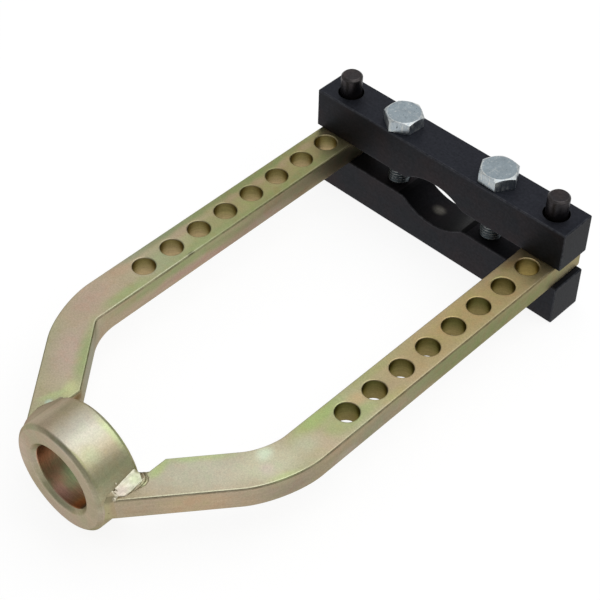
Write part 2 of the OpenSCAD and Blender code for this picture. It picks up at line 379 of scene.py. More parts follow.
def bright_zinc(name, body):
    """Clear zinc plating on a cold forged bolt: cool blue grey, satin, with darker thread roots.

    The darker thread roots are partly dirt and partly painted shade. The thread crests, the cone
    round the head's crown and a little the six sides are painted paler, as painted highlights with
    some rub. Small dark chips and pale scuffs show where a spanner and the die marked it.
    """
    material, tree, place, root, wear_and_highlight = new_material(name, "inside", "wear_and_highlight")
    cloud = add(tree, "TexNoise", speckle(place, 6, 4, 0.6))
    skin = uneven(tree, body, cloud, 0.86, 1.12)
    # Painted shade, with some dirt, on the thread roots, and a painted highlight, with some rub, on
    # the crests, the crown's cone and the sides.
    skin = coated(tree, skin, (root, "#2E3335"), (wear_and_highlight, "#CFD6DA"))
    scuffs = streaked(tree, place, (1.0, 1.0, 0.35), 1.8, 4, 0.8)
    chip = add(tree, "MapRange", {"Value": scuffs, "From Min": 0.39, "From Max": 0.32})
    rub = add(tree, "Math", {0: wear_and_highlight, 1: 0.3, 2: scuffs}, operation="MULTIPLY_ADD")
    pale = {"Value": rub, "From Min": 0.56, "From Max": 0.74, "To Max": 0.8}
    pale = add(tree, "MapRange", pale)
    skin = coated(tree, skin, (pale, "#DFE1DC"), (chip, "#4C5154"))
    # Rubbed zinc blooms white, and the bloom is dull.
    bare = add(tree, "MapRange", {"Value": pale, "To Min": 1.0, "To Max": 0.5})
    sheen = add(tree, "MapRange", {"Value": cloud, "To Min": 0.30, "To Max": 0.44})
    return metal(material, skin, sheen, scuffs, 0.5, 0.0001, metallic=bare)


def ground_weld(name, tints, marks):
    """Chromated weld metal: smooth bead skin, and a paler, scratched facet where it was ground."""
    material, tree, place, ground = new_material(name, "ground")
    cloud = add(tree, "TexNoise", speckle(place, 8, 4, 0.6))
    skin = add(tree, "ValToRGB", {"Fac": cloud}, tints)
    streaks = streaked(tree, place, (1.0, 0.12, 0.6), 0.7, 3, 0.7, -20)
    creams = [(0.3, "#D2D0B4"), (0.5, "#E4E2CC"), (0.7, "#EEECDA")]
    cream = add(tree, "ValToRGB", {"Fac": streaks}, creams)
    # The grinding wheel left the facet in streaks at its end towards the bar's foot.
    ragged = add(tree, "MapRange", {"Value": streaks, "From Min": 0.62, "From Max": 0.4})
    end = patch(tree, place, (32.0, -4.4, 9.4), (3.6, 3.4, 3.6), 1.0)
    lost = add(tree, "Math", {0: end, 1: ragged}, operation="MULTIPLY")
    ground = add(tree, "Math", {0: ground, 1: lost}, operation="SUBTRACT", use_clamp=True)
    skin = zoned(tree, place, coated(tree, skin, (ground, cream)), marks)
    grain = add(tree, "TexNoise", speckle(place, 1.1, 3, 0.8))
    skin = uneven(tree, skin, grain, 0.9, 1.1)
    relief = add(tree, "Mix", {0: ground, 2: grain, 3: streaks}, data_type="FLOAT")
    return metal(material, skin, 0.46, relief, 0.4, 0.0001, SLANT_TINT)


def marked(bm):
    """A bmesh whose faces can be marked for rub and painted highlight, for painted shade, as inside a
    hole or hollow, or as ground.
    """
    for mark in ("wear_and_highlight", "shade", "inside", "ground"):
        bm.faces.layers.float.new(mark)
    return bm


def picked(made, kind):
    """The verts, edges or faces among what an operator made."""
    return [g for g in made["geom"] if isinstance(g, kind)]


def as_object(bm, name):
    """Turn a bmesh into a mesh object of the scene."""
    mesh = bpy.data.meshes.new(name)
    bm.to_mesh(mesh)
    bm.free()
    made = bpy.data.objects.new(name, mesh)
    bpy.context.scene.collection.objects.link(made)
    return made


def settle(bm, name, node, material, smooth_angle=22):
    """Make a finished bmesh the piece that stands for a CAD node and rides on its body."""
    bmesh.ops.remove_doubles(bm, verts=bm.verts, dist=0.001)
    bmesh.ops.recalc_face_normals(bm, faces=bm.faces)
    bmesh.ops.scale(bm, verts=bm.verts, vec=(1 / METRE,) * 3)
    piece = as_object(bm, name)
    mesh = piece.data
    mesh.polygons.foreach_set("use_smooth", [True] * len(mesh.polygons))
    mesh.set_sharp_from_angle(angle=math.radians(smooth_angle))
    mesh.materials.append(material)
    # Flat faces keep a flat shade beside their rounded edges.
    weights = piece.modifiers.new("Weighted normals", "WEIGHTED_NORMAL")
    weights.keep_sharp = True
    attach(piece, frame["nodes"][node]["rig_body"])
    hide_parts(node)


def rounded(bm, geom, width, segments, affect="EDGES"):
    """Round edges or corners, and give the new faces."""
    return bmesh.ops.bevel(
        bm,
        geom=geom,
        offset=width,
        offset_type="OFFSET",
        segments=segments,
        profile=0.5,
        affect=affect,
        loop_slide=False,
        clamp_overlap=False,
        material=-1,
    )["faces"]


def soften(bm, edges, width, segments, edge_wear_and_highlight):
    """Round edges and mark the new faces for rub and painted highlight."""
    wear_and_highlight = bm.faces.layers.float["wear_and_highlight"]
    for face in rounded(bm, edges, width, segments):
        face[wear_and_highlight] = edge_wear_and_highlight


def sharp_edges(bm, angle):
    """Edges at which two faces meet at more than an angle in degrees."""
    limit = math.radians(angle)
    return [e for e in bm.edges if len(e.link_faces) == 2 and e.calc_face_angle() > limit]


def round_corner(bm, corner, reach, segments):
    """Round one corner of a flat face with an arc that starts `reach` from the corner."""
    vert = min(bm.verts, key=lambda v: (v.co - corner).length)
    rounded(bm, [vert], reach, segments, "VERTICES")


def cut_flat(bm, point, normal, close=True):
    """Cut along a plane. Where the cut is closed, a flat face takes the place of what is above."""
    cut = bmesh.ops.bisect_plane(
        bm,
        geom=bm.verts[:] + bm.edges[:] + bm.faces[:],
        dist=0.0001,
        plane_co=point,
        plane_no=normal,
        clear_outer=close,
    )
    if close:
        rim = [g for g in cut["geom_cut"] if isinstance(g, BMEdge)]
        bmesh.ops.triangle_fill(bm, use_beauty=True, edges=rim)


def plate(bm, outline, holes, top, bottom):
    """Turn a flat outline face and round holes (x, y, radius) into a plate with those holes."""
    bmesh.ops.delete(bm, geom=[outline], context="FACES_ONLY")
    for x, y, radius in holes:
        place = Matrix.Translation((x, y, top))
        bmesh.ops.create_circle(bm, cap_ends=False, radius=radius, segments=64, matrix=place)
    skin = bmesh.ops.triangle_fill(bm, use_beauty=True, edges=bm.edges[:])
    lower = bmesh.ops.extrude_face_region(bm, geom=picked(skin, BMFace))
    bmesh.ops.translate(bm, verts=picked(lower, BMVert), vec=(0, 0, bottom - top))
    bmesh.ops.recalc_face_normals(bm, faces=bm.faces)


def near_hole(point, holes, slack):
    """Whether a point lies within a hole's radius and some slack, seen from above."""
    return any(math.hypot(point.x - x, point.y - y) < radius + slack for x, y, radius in holes)


def widen(vert, times):
    """Move a point away from the z axis, or towards it."""
    vert.co.x *= times
    vert.co.y *= times


def turned(bm, profile, axis, centre, edge_round, steps):
    """Spin a closed profile of points round an axis, its corners rounded first."""
    bm.faces.new([bm.verts.new(p) for p in profile])
    for point in profile:
        if (point - centre).cross(axis).length > 1e-6:
            round_corner(bm, point, edge_round, 3)
    bmesh.ops.delete(bm, geom=bm.faces[:], context="FACES_ONLY")
    bmesh.ops.spin(
        bm,
        geom=bm.verts[:] + bm.edges[:],
        cent=centre,
        axis=axis,
        dvec=(0, 0, 0),
        angle=2 * math.pi,
        steps=steps,
        use_merge=True,
        use_duplicate=False,
    )
    bmesh.ops.remove_doubles(bm, verts=bm.verts, dist=0.0005)
    bmesh.ops.dissolve_degenerate(bm, edges=bm.edges, dist=0.0005)


# Each zone of colour has a centre and half widths in millimetres, a colour with its strength and,
# where it is turned, its turn in degrees. A later zone lies over an earlier one.
RING_ZONES = [
    ((29, 2, 16), (13, 30, 18), "#9AA07A", 0.9),
    # A painted shade on the ring's lower right side.
    ((31, 6, 4), (8, 20, 12), "#8B8E68", 0.95),
    ((32, -9.5, 2), (6, 7, 14), "#8A8562", 0.9),
    # A pale painted highlight along the ring's top.
    ((6, 0, 32), (16, 30, 10), "#CCCABC", 0.9),
    ((-22, -2, 24), (12, 30, 14), "#D3C3B3", 0.85),
    ((16, 13, 28), (20, 5, 14), "#BCCB96", 0.8),
    ((18, -6, 27), (7, 8, 7), "#B4BC98", 0.7),
    ((8, -13.1, 22), (32, 1.6, 20), "#8B8F62", 0.85),
    ((-15, -14.5, 22), (15, 3, 11), "#A6B08C", 0.9),
    ((-20, -13.0, 4), (3.2, 0.9, 17), "#97A37E", 0.6),
    ((0, -13.0, -20), (17, 0.9, 3.2), "#9CA380", 0.6),
    ((-29, -14.5, -4), (9, 4, 22), "#E8D4C8", 0.95),
    ((20, -14.5, 19), (10, 3, 12), "#A9A88A", 0.7),
    ((28, -14.5, 2), (7, 3, 16), "#A29E7C", 0.85),
    ((-2, -14.5, -27), (24, 4, 8), "#BCA89C", 0.9),
    ((19, -14.5, -18), (9, 3, 9), "#ACAC8C", 0.7),
]
RING_BORE_ZONES = [
    ((-19, -8, 2), (7, 14, 12), "#D8A484", 0.9),
    ((-9, 5, -17), (12, 11, 9), "#6F7F5C", 0.95),
    ((-4, -9, -19), (9, 5, 6), "#B9958A", 0.8),
    ((10, -9, -17), (7, 9, 7), "#DC9464", 0.9),
]


class PULLER_OT_boss_ring(bpy.types.Operator):
    """Turn the boss ring with its chamfers"""

    bl_idname = "puller.boss_ring"
    bl_label = "Boss ring"

    def execute(self, context):
        ring = context.scene.puller_ring
        high = node_box("boss_ring")[1]
        radius, half = high.z, high.y
        bore, mouth, chamfer = mm(ring.bore) / 2, mm(ring.bore_chamfer), mm(ring.outer_chamfer)
        front = [(bore, mouth - half), (bore + mouth, -half)]
        front += [(radius - chamfer, -half), (radius, chamfer - half)]
        profile = [Vector((x, y, 0)) for x, y in front + [(x, -y) for x, y in reversed(front)]]
        bm = marked(bmesh.new())
        inside, shade = bm.faces.layers.float["inside"], bm.faces.layers.float["shade"]
        axis, centre = Vector((0, 1, 0)), Vector((0, 0, 0))
        turned(bm, profile, axis, centre, mm(ring.edge_round), steps=160)
        bm.normal_update()
        for face in bm.faces:
            middle = face.calc_center_median()
            reach = math.hypot(middle.x, middle.z)
            if reach < bore + 0.3:
                face[inside] = 1.0
            elif chamfer - half > middle.y > 0.1 - half and face.normal.y > -0.95:
                # The front outer chamfer gets a faint painted shade.
                face[shade] = 0.2
        material = yellow_chromate(
            "Yellow chromated zinc on turned steel",
            zones=RING_ZONES,
            wall_tint="#C5B5A6",
            wall_zones=[((31.8, -10.8, 9), (5, 8, 9), "#92966E", 0.75)],
            bore_tints=[(0.38, "#B07658"), (0.5, "#A88A70"), (0.64, "#8F9472")],
            bore_zones=RING_BORE_ZONES,
            lines_mm=(9.0, 0.9, 9.0),
        )
        settle(bm, "turned_boss_ring", "boss_ring", material)
        return {"FINISHED"}


def build_arm(node, side, material):
    """One bent flat bar with its row of holes and its edges rounded.

    The right hand bar is built, and the left hand one is its mirror image. The left bar's hollow
    side creased at the top when it was bent, so only its lower edge has the full radius there.
    """
    fork = bpy.context.scene.puller_fork
    low, high = node_box(node)
    foot_x, tip_x = min(abs(low.x), abs(high.x)), max(abs(low.x), abs(high.x))
    width = mm(fork.bar_width)
    slope = math.tan(fork.bend_angle)
    half_turn = math.tan(fork.bend_angle / 2)
    outer_y = low.y + (tip_x - foot_x) / slope
    inner_y = outer_y + width * half_turn
    inner_x = tip_x - width
    inner_radius = mm(fork.bend_inner)
    top_radius = mm(fork.crease_radius) if side < 0 else inner_radius
    corners = [
        (inner_x, high.y),
        (inner_x, inner_y),
        (foot_x, inner_y - (inner_x - foot_x) / slope),
        (foot_x, low.y),
        (tip_x, outer_y),
        (tip_x, high.y),
    ]
    corners = [Vector((x, y, high.z)) for x, y in corners]
    bm = marked(bmesh.new())
    bm.faces.new([bm.verts.new(c) for c in corners])
    arc = 20
    for corner, reach, segments in (
        (corners[1], top_radius * half_turn, arc),
        (corners[4], mm(fork.bend_outer) * half_turn, 28),
        (corners[0], mm(fork.tip_radius), 8),
        (corners[5], mm(fork.tip_radius), 8),
    ):
        round_corner(bm, corner, reach, segments)
    jaw_low, jaw_high = node_box("lower_jaw")
    clamp_y = (jaw_low.y + jaw_high.y) / 2
    radius = mm(fork.hole_diameter) / 2
    rows = [clamp_y - i * mm(fork.hole_pitch) for i in range(fork.hole_count)]
    holes = [(tip_x - width / 2, y, radius) for y in rows]
    plate(bm, bm.faces[:][0], holes, high.z, low.z)
    if top_radius < inner_radius:
        bend = corners[1].to_2d()
        reach = top_radius * half_turn + 0.01
        lower = [v for v in bm.verts if v.co.z < low.z + 0.01]
        lower = [v for v in lower if (v.co.to_2d() - bend).length < reach]
        lower.sort(key=lambda v: -v.co.y)
        for i, vert in enumerate(lower):
            angle = fork.bend_angle * i / arc
            vert.co.x = bend.x - inner_radius * (1 - math.cos(angle))
            vert.co.y = bend.y + inner_radius * (half_turn - math.sin(angle))
    rims = [e for e in sharp_edges(bm, 60) if near_hole(e.verts[0].co, holes, 0.1)]
    upper = [e for e in rims if e.verts[0].co.z > high.z - 0.1]
    lower = [e for e in rims if e.verts[0].co.z < low.z + 0.1]
    rounded(bm, upper, mm(fork.hole_chamfer), segments=2)
    rounded(bm, lower, width=0.12, segments=1)
    limits = [e for e in sharp_edges(bm, 50) if not near_hole(e.verts[0].co, holes, 1.0)]
    rounding = rounded(bm, limits, mm(fork.edge_round), segments=3)
    wear_and_highlight, shade, inside = (bm.faces.layers.float[mark] for mark in ("wear_and_highlight", "shade", "inside"))
    bm.normal_update()
    for face in rounding:
        # The crest of a rolled edge gets a painted highlight, strong only on the edges that face one
        # way, and a painted shade line lies just under it.
        if face.normal.z > 0.85:
            face[wear_and_highlight] = 0.75 if (face.normal.x - face.normal.y) * side > 0 else 0.15
        elif face.normal.z > 0.1:
            face[shade] = 0.6
    for face in bm.faces:
        if near_hole(face.calc_center_median(), holes, 0.05) and len(face.verts) == 4:
            face[inside] = 1.0
    if side < 0:
        bmesh.ops.scale(bm, verts=bm.verts, vec=(-1, 1, 1))
    settle(bm, node + "_bar", node, material)


ARM_ZONES = [
    ((-79, 240, 6), (26, 100, 30), "#9A8E5E", 0.85),
    ((-74, 190, 6), (12, 60, 8), "#9DA36A", 0.6),
    ((-91, 150, 6), (5, 60, 8), "#8E9E84", 0.8),
    ((-68, 165, 6), (5, 70, 8), "#94A26C", 0.75),
    ((-69, 232, 6), (6, 62, 8), "#8A925D", 0.85),
    ((-89.5, 212, 6), (6, 108, 8), "#838F5C", 0.9),
    ((-84, 155, 6), (5, 12, 8), "#B29C86", 0.6),
    ((-80, 185, 6), (5, 10, 8), "#B39A80", 0.6),
    ((-65.4, 146.3, 5.8), (2.2, 3.8, 2.2), "#2E2818", 0.95),
    ((79, 235, 6), (26, 130, 30), "#B09B69", 0.95),
    ((-57, 45, 6), (17, 34, 12), "#C4B0A0", 0.95, 39),
    ((-82, 80, 6), (14, 26, 12), "#BEA896", 0.9, 15),
    ((-87, 107, 6), (7, 12, 10), "#C2A68C", 0.7),
    ((-70, 98, 6), (6, 22, 10), "#A4B27C", 0.9),
    ((-74, 130, 6), (12, 16, 10), "#A6B188", 0.8),
    ((-51.5, 51, 6), (6.5, 34, 9), "#A5B47E", 0.95, 39),
    ((-36, 27, 6), (6, 9, 9), "#CDD29C", 0.9, 39),
    ((-40, 18, 6), (4, 12, 9), "#BCCB94", 0.8, -30),
    # A painted highlight, pale blue white, where the left arm meets the ring.
    ((-37.5, 14, 6), (3, 3, 6), "#CBDDCC", 0.9),
    ((52, 38, 6), (20, 44, 12), "#C9C6B0", 0.95, -39),
    ((44, 42, 6), (5, 26, 9), "#BCCB96", 0.9, -39),
    ((35, 24, 6), (5, 9, 9), "#BDCE90", 0.9),
    ((74, 66, 6), (17, 24, 12), "#D0D0B4", 0.9, -20),
    ((68, 68, 6), (6, 7, 9), "#DFEBD2", 0.9),
    ((76, 62, 6), (6, 6, 9), "#D8CABE", 0.7),
    ((87, 64, 6), (5, 12, 6), "#C4D296", 0.8, -25),
    ((71, 106, 6), (7, 26, 9), "#A9BC78", 0.95),
    ((86, 122, 6), (6, 22, 9), "#A8B47C", 0.7),
    ((70, 150, 6), (4, 24, 9), "#A3A86E", 0.6),
    ((70, 268, 6), (4, 8, 9), "#A87C44", 0.6),
    ((72, 252, 6), (4, 8, 9), "#98A064", 0.6),
    ((78, 90, 6), (9, 12, 9), "#C0C2A6", 0.8),
    ((81, 108, 6), (8, 9, 8), "#ADB97E", 0.7),
    ((78, 130, 6), (6, 9, 8), "#C6AC82", 0.7),
    ((88, 148, 6), (5, 16, 8), "#B4B078", 0.7),
    # Painted light near the clamp, lifting the shade there.
    ((79, 266, 6), (14, 14, 8), "#C8B880", 0.6),
]
ARM_ZONES += [((-84, y, 6), (4, 7, 8), "#B39A80", 0.5) for y in range(196, 290, 22)]
ARM_WALL_ZONES = [
    ((-50, 51, -1), (12, 34, 14), "#B2B3A9", 0.95, 39),
    ((-66.5, 140, 2), (5, 75, 5), "#909A6E", 0.85),
    ((-66.5, 150, -5), (5, 60, 5), "#B09088", 0.7),
    ((-66.5, 255, -1), (5, 105, 12), "#76715A", 0.95),
    ((-66.5, 208, -5), (5, 32, 5), "#9E8C82", 0.65),
    ((83, 70, -1), (14, 24, 14), "#95877C", 0.85, -20),
    ((91.5, 180, 2), (5, 60, 6), "#949C78", 0.8),
    ((91.5, 130, -3), (5, 60, 9), "#9C9A86", 0.85),
    ((91.5, 250, -1), (5, 80, 12), "#8C8F6A", 0.95),
    ((91.5, 205, -2), (5, 62, 12), "#8A906C", 0.95),
    ((91.5, 106, -5), (5, 14, 6), "#BDB0A4", 0.8),
    ((60, 25, -1), (24, 24, 12), "#C2AB8C", 0.85),
    # A painted shadow in the pocket at the left arm's cut end behind the ring.
    ((-33.2, 27, 3), (3, 6, 6), "#6E542E", 1.0),
]
# Painted light and shade in the holes: darker near the top and lighter towards the bottom.
ARM_BORE_ZONES = [
    ((-79, 207, 6), (60, 500, 14), "#8E8556", 0.9),
    ((79, 207, -10), (60, 500, 13), "#8C7C54", 0.7),
    ((-79, 207, -10), (60, 500, 13), "#B29C76", 0.9),
    ((79, 280, -6), (30, 20, 15), "#8C7A48", 0.9),
]


class PULLER_OT_fork_arms(bpy.types.Operator):
    """Cut, bend and drill the two flat bar arms"""

    bl_idname = "puller.fork_arms"
    bl_label = "Fork arms"

    def execute(self, context):
        material = yellow_chromate(
            "Yellow chromated zinc on drawn flat bar",
            zones=ARM_ZONES,
            wall_tint="#AA9883",
            wall_zones=ARM_WALL_ZONES,
            # The hole walls are painted dark, as painted shade.
            bore_tints=[(0.4, "#665C34"), (0.6, "#66653A")],
            bore_zones=ARM_BORE_ZONES,
            lines_mm=(9.0, 9.0, 0.8),
            # Where the painted highlight on the edges is strongest.
            bright_edges=[((62, 30, 6), (40, 75, 14), -39), ((-66.5, 112, 6), (10, 75, 14), 0)],
        )
        build_arm("left_arm", side=-1, material=material)
        build_arm("right_arm", side=1, material=material)
        return {"FINISHED"}


def bead(bm, path, spacing):
    """Lay overlapping drops of weld metal along a path of points (x, y, z, radius)."""
    for start, end in zip(path, path[1:]):
        start, end = Vector(start), Vector(end)
        steps = max(1, round((end - start).to_3d().length / spacing))
        for i in range(steps + 1):
            drop = start.lerp(end, i / steps)
            place = Matrix.Translation(drop.to_3d())
            bmesh.ops.create_icosphere(bm, subdivisions=2, radius=drop.w, matrix=place)


def melted(bm, grid):
    """The same metal as one skin, its overlapping drops run together on a grid of this size."""
    melt = as_object(bm, "melt")
    mesh = melt.data
    fuse = melt.modifiers.new("Fuse", "REMESH")
    fuse.mode = "VOXEL"
    fuse.voxel_size = grid
    skin = bmesh.new()
    skin.from_object(melt, bpy.context.evaluated_depsgraph_get())
    bpy.data.objects.remove(melt)
    bpy.data.meshes.remove(mesh)
    return skin


def roughen(bm, swell_mm, height_mm):
    """Move a skin in and out by a smooth noise, as weld metal freezes unevenly."""
    bm.normal_update()
    moves = [(v, v.normal * noise.noise(v.co / swell_mm) * height_mm) for v in bm.verts]
    for vert, move in moves:
        vert.co += move


def fillet(bm, corner, turn, reach, low, high):
    """A hollow fillet between the ring's side and an arm's outer wall, as a block to melt in."""
    ring_radius = node_box("boss_ring")[1].z
    front = corner.y - 3.5
    radius = reach / math.tan(turn / 2)
    centre = corner + Vector((radius, -reach))
    steps = 8
    angles = [turn * i / steps for i in range(steps + 1)]
    points = [centre + radius * Vector((-math.cos(a), math.sin(a))) for a in angles]
    for point in points:
        point.y = max(point.y, front)
    points += [corner + Vector((-0.8, 5)), corner + Vector((-3.5, 0)), points[0] - Vector((3.5, 0))]
    face = bm.faces.new([bm.verts.new((p.x, p.y, low)) for p in points])
    block = face.verts[:]
    for vert in picked(bmesh.ops.extrude_face_region(bm, geom=[face]), BMVert):
        vert.co.z = high + 0.9 * min(0.0, vert.co.y - corner.y)
        block.append(vert)
    for vert in block:
        drop = ring_radius - math.sqrt(ring_radius**2 - vert.co.z**2)
        vert.co.x -= drop * max(0.0, 1 - (vert.co.y - front) / (2 * reach))


def span(bm, points):
    """A block of weld metal with these corners, to melt in with the drops."""
    bmesh.ops.convex_hull(bm, input=[bm.verts.new(p) for p in points])


# The weld metal, in millimetres, as it lies on the right side. Where a point has a fourth number,
# it is the radius of a drop there. This is the run under the arm, with radii as shares of the
# bead's.
UNDER = [(32.0, -5.5, -6.6, 0.45), (32.4, 0.0, -7.6, 0.6), (32.4, 8.0, -8.2, 0.78)]
UNDER += [(32.2, 13.0, -7.6, 0.66), (32.6, 16.0, -5.0, 0.55), (33.6, 22.0, -5.0, 0.5)]
CROWN = [(27.0, 13.2, 18.2, 1.7), (30.5, 14.2, 12.6, 2.2), (33.0, 15.6, 7.4, 2.4)]
CROWN += [(33.6, 18.0, 6.2, 2.0)]
# The metal that runs out smoothly from the weld's end, round the bar's foot.
HEEL = [(30.9, -4.2, 11.6), (31.6, -8.5, 9.4), (32.2, -12.0, 6.0), (35.4, -4.0, 6.4)]
HEEL += [(34.9, -6.6, 5.6), (34.1, -9.2, 4.0), (32.4, -12.6, 1.0), (28, -3, 3), (28, -12, 0)]
HEEL += [(34.4, -8.9, -6.6), (31.8, -12.6, -6.6), (35.6, -6.0, -6.6), (28, -3, -6.6)]
# Where the facet ends towards the bar's foot, towards the arm's inner wall, and on the bar.
FACET_LOW, FACET_HIGH, FACET_TOE = -5.0, 12.9, 36.7
CORE = [(28, 12.5, 5), (28, -3.5, 5), (33.5, -5.2, 5)]
# The bead before grinding: its upper outline, then its toe on the bar.
BLOCKS = {
    "right_weld": [(30.7, 11.8, 13.2), (31.6, -2.7, 10.4), (34.2, -4.4, 8.4)]
    + [(37.3, 0.4, 6.8), (36.5, 5.9, 8.2), (36.1, 11.5, 9.3), (33.3, 12.6, 11.5)]
    + [(37.4, 0.4, 5), (37.2, 9.0, 5), (36.6, 12.8, 5), (34.0, 14.5, 5)],
    "left_weld": [(21.6, 13.6, 24.6), (21.6, 4.0, 24.6), (27.0, 13.9, 19.4)]
    + [(27.0, -2.0, 19.2), (31.0, 14.2, 14.6), (31.6, -7.0, 11.6), (34.6, -8.6, 7.4)]
    + [(37.3, -3.5, 7.6), (38.0, 1.0, 8.2), (38.8, 5.6, 8.6), (37.9, 9.1, 9.2)]
    + [(34.7, 13.8, 10.4), (37.6, -3.5, 5), (38.4, 1.0, 5), (39.2, 5.8, 5)]
    + [(38.1, 9.4, 5), (35.0, 14.3, 5), (21.6, 13.6, 5)],
}
# What the grinding pushed out: two lips beside the facet, and two drops at its end.
LIPS = [
    [(33.9, 16.2, 5.9, 1.0), (36.0, 15.3, 6.0, 1.1), (37.5, 13.4, 6.1, 1.1)]
    + [(38.1, 11.2, 6.2, 1.0), (37.9, 9.3, 6.2, 0.7)],
    [(33.6, 14.4, 7.6, 1.1), (35.3, 13.7, 7.6, 1.2), (36.6, 12.2, 7.5, 1.2)]
    + [(37.1, 10.0, 7.0, 1.0), (37.3, 5.0, 6.2, 0.6)],
    [(30.8, -1.1, 12.2, 0.6), (30.9, -1.2, 12.1, 0.6)],
    [(34.5, -5.7, 6.5, 0.9), (34.6, -5.8, 6.5, 0.9)],
]
WELD_MARKS = [
    ((33.5, -8.5, -1.5), (7.0, 9.0, 15.0), "#B4AB85", 0.95),
    # A painted shade below the drop at the facet's lower end.
    ((32.4, -7.5, 6.6), (3.4, 4.0, 3.8), "#A49A79", 0.9),
    # Painted highlights on the two drops pushed out at the facet's ends.
    ((34.8, -5.9, 7.0), (1.5, 1.5, 1.5), "#FFFBE6", 0.95),
    ((30.9, -1.2, 12.5), (1.4, 1.4, 1.4), "#F0EAD2", 0.9),
    ((33.4, -9.6, -1.6), (0.9, 0.9, 0.9), "#4F4228", 0.9),
    ((36.0, -7.0, 0.0), (4.0, 4.0, 12.0), "#B19D82", 0.8),
    # A painted shade in the pocket where the bead meets the ring's back face.
    ((32.2, 15.6, 6.4), (3.2, 2.0, 3.4), "#4A4028", 0.9, -20),
    ((36.9, 1.5, 6.7), (0.6, 5.5, 0.9), "#5E5236", 0.85, -11),
    ((37.2, 11.5, 7.0), (2.4, 4.0, 2.0), "#C3C89C", 0.85, 30),
    ((34.0, 9.0, 9.8), (4.0, 4.5, 4.0), "#DBE4BE", 0.75),
    # A painted shade in the hollow at the facet's upper end.
    ((32.2, 12.4, 12.2), (3.0, 2.2, 2.6), "#7D7A50", 0.85),
    ((34.0, -0.5, 8.5), (4.5, 5.0, 4.0), "#E6D8CA", 0.85),
    ((32.2, -2.6, 9.4), (1.6, 0.5, 1.2), "#6B6248", 0.9, 20),
    ((32.6, -4.0, 8.4), (1.8, 0.5, 1.2), "#6B6248", 0.9, 20),
    ((-30, 4, 13), (16, 22, 16), "#C2B2A0", 0.9),
    ((-36, -4, 8), (4, 6, 6), "#BCA698", 0.8),
    ((-33, 14, 9), (4, 5, 5), "#A9A284", 0.8),
]


class PULLER_OT_welds(bpy.types.Operator):
    """Lay the welds between the arms and the ring, and grind a facet on the right one"""

    bl_idname = "puller.welds"
    bl_label = "Welds"

    def execute(self, context):
        weld = context.scene.puller_weld
        turn = context.scene.puller_fork.bend_angle
        foot = node_box("right_arm")[0]
        corner = Vector((foot.x - 0.3, foot.y - 0.3))
        point, tilt = Vector((31.4, -2.7, 10.1)), Vector((0.584, -0.117, 0.803)).normalized()
        size, ripple = mm(weld.bead_radius), mm(weld.ripple)
        under = [(x, y, z, size * share) for x, y, z, share in UNDER]
        behind = [(31.2, 14.6, 4.6, size * 0.38), (32.4, 16.4, 4.8, size * 0.32)]
        behind += [(33.4, 18.4, 4.8, 1.3)]
        smoothings = 5
        all_ways = {"use_axis_" + axis: True for axis in "xyz"}
        material = ground_weld(
            "Chromated and hand ground weld",
            [(0.36, "#AEA088"), (0.5, "#A89F83"), (0.62, "#A2A385")],
            WELD_MARKS,
        )
        for node in ("left_weld", "right_weld"):
            is_ground = node == "right_weld"
            bm = bmesh.new()
            span(bm, CORE + BLOCKS[node])
            bead(bm, under, ripple)
            span(bm, HEEL)
            bead(bm, behind, ripple)
            if not is_ground:
                bead(bm, CROWN, ripple)
            fillet(bm, corner, turn, reach=4.4, low=-8.0, high=6.2)
            bm = melted(bm, grid=0.4)
            for _ in range(smoothings):
                bmesh.ops.smooth_vert(bm, verts=bm.verts, factor=0.5, **all_ways)
            if is_ground:
                cut_flat(bm, point, tilt)
                for lip in LIPS:
                    bead(bm, lip, spacing=0.35)
                bm = melted(bm, grid=0.22)
            roughen(bm, swell_mm=2.6, height_mm=0.12)
            facet = marked(bm).faces.layers.float["ground"]
            bm.normal_update()
            for face in bm.faces:
                middle = face.calc_center_median()
                flat = abs((middle - point).dot(tilt)) < 0.35 and face.normal.dot(tilt) > 0.85
                here = FACET_LOW < middle.y < FACET_HIGH and middle.x < FACET_TOE
                if is_ground and flat and here:
                    face[facet] = 1.0
            if not is_ground:
                bmesh.ops.scale(bm, verts=bm.verts, vec=(-1, 1, 1))
            settle(bm, node + "_bead", node, material, smooth_angle=40)
        return {"FINISHED"}


